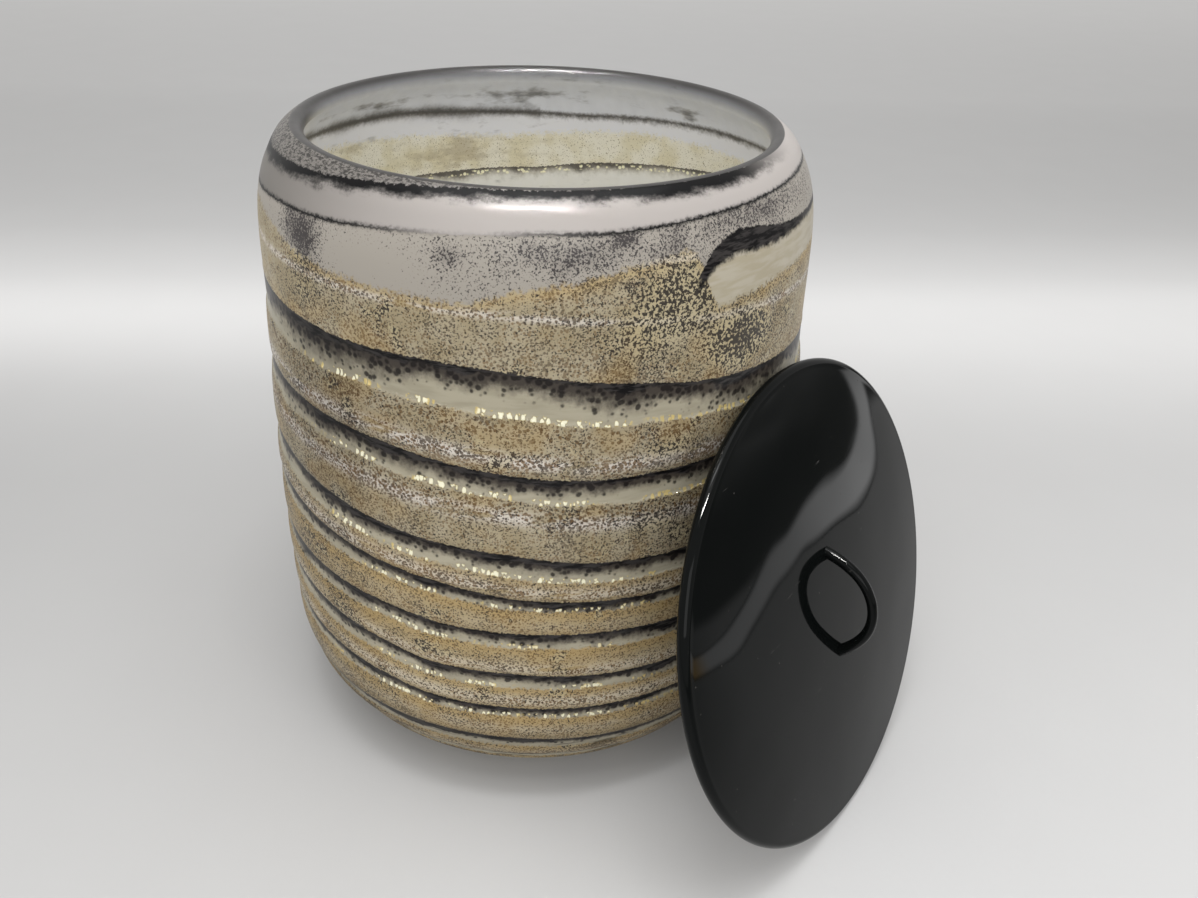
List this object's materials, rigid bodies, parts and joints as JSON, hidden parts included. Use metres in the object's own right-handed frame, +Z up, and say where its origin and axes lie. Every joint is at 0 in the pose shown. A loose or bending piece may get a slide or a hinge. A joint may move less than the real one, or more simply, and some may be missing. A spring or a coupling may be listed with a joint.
{
  "type": "lidded water jar",
  "caption": "Wide-mouthed glass water jar with wound gold and smoke bands, and a round black lacquered lid with an arched grip leaning against it.",
  "frame": {"origin": "centre of the jar's flat foot, on the surface that it stands on", "axes": "+Z up along the jar's axis, +X towards the leaning lid, +Y to the lid's side"},
  "size_m": [0.2047, 0.1604, 0.18],
  "materials": {
    "banded_glass": "satin glass with gold speckle bands and smoke-black edges",
    "black_lacquer": "polished black lacquer on wood"
  },
  "bodies": {
    "jar": {"jar_body": "banded_glass"},
    "lid": {"lid_panel": "black_lacquer", "lid_handle": "black_lacquer"}
  },
  "joints": [
    {"name": "lid_lift", "type": "slide", "parent": "jar", "child": "lid", "axis": [0, 0, 1], "range_m": [0, 0.2]}
  ]
}
